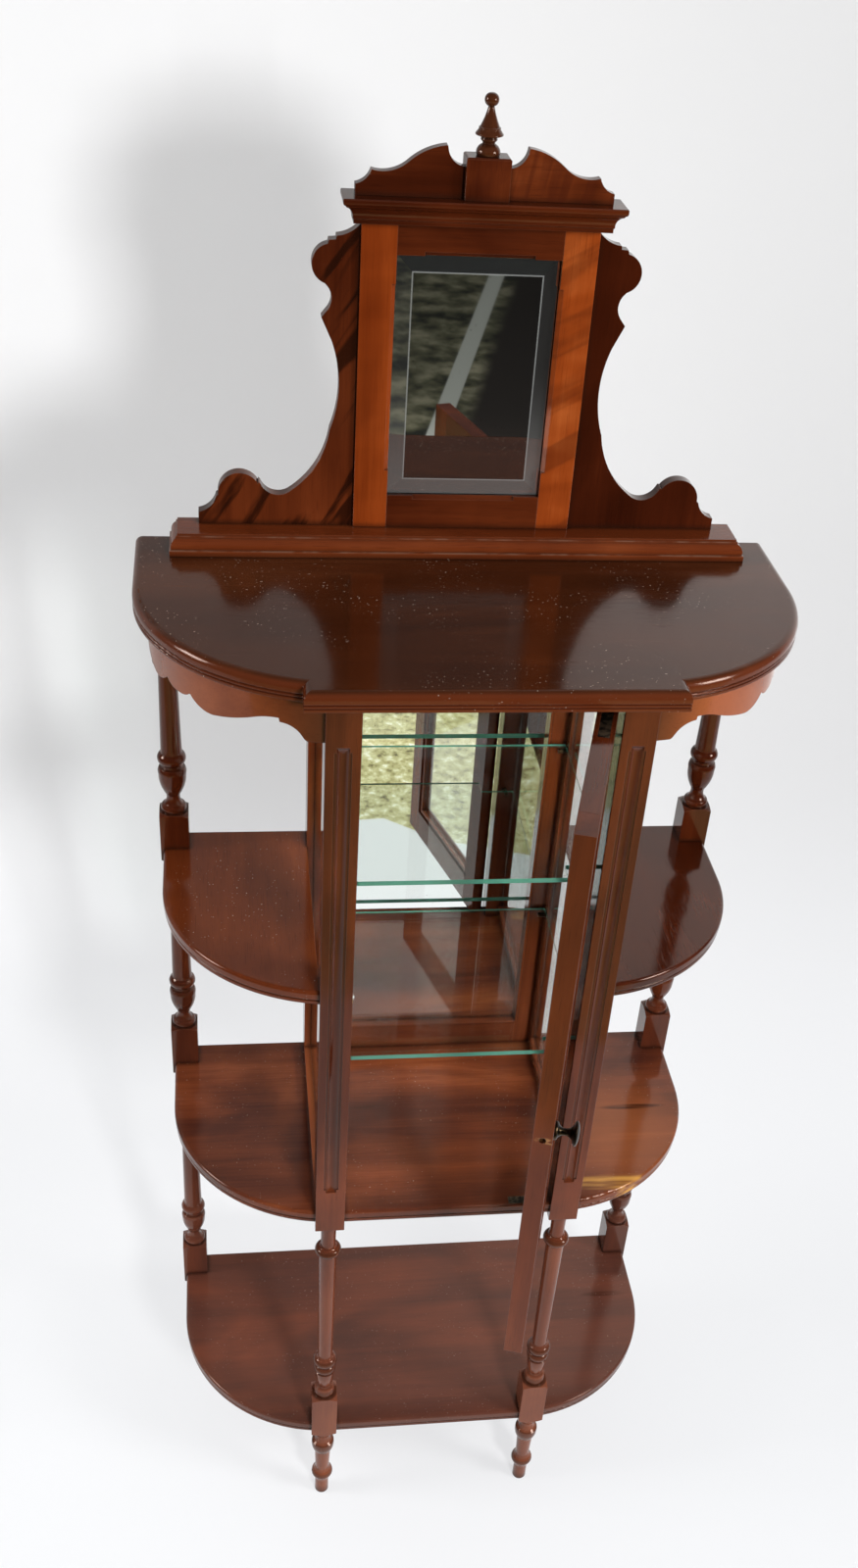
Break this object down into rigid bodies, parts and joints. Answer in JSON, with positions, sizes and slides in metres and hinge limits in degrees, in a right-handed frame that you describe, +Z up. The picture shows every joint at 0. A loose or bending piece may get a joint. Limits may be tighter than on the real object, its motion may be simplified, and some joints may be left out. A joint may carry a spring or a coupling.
{
  "type": "curio shelf",
  "caption": "Tall mahogany curio shelf: glazed centre cupboard with pivoting door and glass shelves, quarter-round open shelves, turned posts and a mirrored gallery.",
  "frame": {"origin": "on the floor, under the middle of the shelf with its door as far open as in the picture", "axes": "+Z up, +X to the right of someone facing the front, +Y to the back, front at -Y"},
  "size_m": [0.608, 0.4698, 1.5515],
  "materials": {
    "mahogany": "glossy french polish",
    "clear_glass": "polished",
    "mirror_glass": "silvered",
    "aged_brass": "dark, aged",
    "spring_steel": "plain"
  },
  "bodies": {
    "case": {"top_board": "mahogany", "bottom_shelf": "mahogany", "cabinet_floor": "mahogany", "wing_shelf_left": "mahogany", "wing_shelf_right": "mahogany", "front_post_left": "mahogany", "front_post_right": "mahogany", "back_post_left": "mahogany", "back_post_right": "mahogany", "apron_left": "mahogany", "apron_right": "mahogany", "side_stile_left": "mahogany", "side_stile_right": "mahogany", "side_rail_top_left": "mahogany", "side_rail_top_right": "mahogany", "side_rail_bottom_left": "mahogany", "side_rail_bottom_right": "mahogany", "head_rail": "mahogany", "back_stile_left": "mahogany", "back_stile_right": "mahogany", "back_rail_top": "mahogany", "back_rail_bottom": "mahogany", "backboard": "mahogany", "gallery_base": "mahogany", "gallery_stile_left": "mahogany", "gallery_stile_right": "mahogany", "gallery_rail_top": "mahogany", "gallery_rail_bottom": "mahogany", "gallery_board": "mahogany", "gallery_wing_left": "mahogany", "gallery_wing_right": "mahogany", "cornice": "mahogany", "pediment_left": "mahogany", "pediment_right": "mahogany", "finial_block": "mahogany", "finial": "mahogany", "side_glass_left": "clear_glass", "side_glass_right": "clear_glass", "glass_shelf_upper": "clear_glass", "glass_shelf_lower": "clear_glass", "back_mirror": "mirror_glass", "gallery_mirror": "mirror_glass", "shelf_pegs": "aged_brass", "pivot_top_frame": "aged_brass", "pivot_bottom_frame": "aged_brass", "frame_pivot_screws": "aged_brass", "catch_barrel": "aged_brass", "catch_spring": "spring_steel"},
    "door": {"door_stile_hinge": "mahogany", "door_stile_lock": "mahogany", "door_rail_top": "mahogany", "door_rail_bottom": "mahogany", "door_bead": "mahogany", "door_glass": "clear_glass", "knob": "aged_brass", "pivot_top_door": "aged_brass", "pivot_bottom_door": "aged_brass", "door_pivot_screws": "aged_brass"},
    "catch_ball": {"catch_ball": "spring_steel"}
  },
  "joints": [
    {"name": "door_swing", "type": "hinge", "parent": "case", "child": "door", "pos_m": [0.0993, -0.03186, 0.83], "axis": [0, 0, 1], "range_deg": [-73.5, 16.5]},
    {"name": "catch_press", "type": "slide", "parent": "case", "child": "catch_ball", "axis": [-1, 0, 0], "range_m": [0, 0.0024], "stiffness_N_per_m": 900, "springref_m": -0.003}
  ]
}
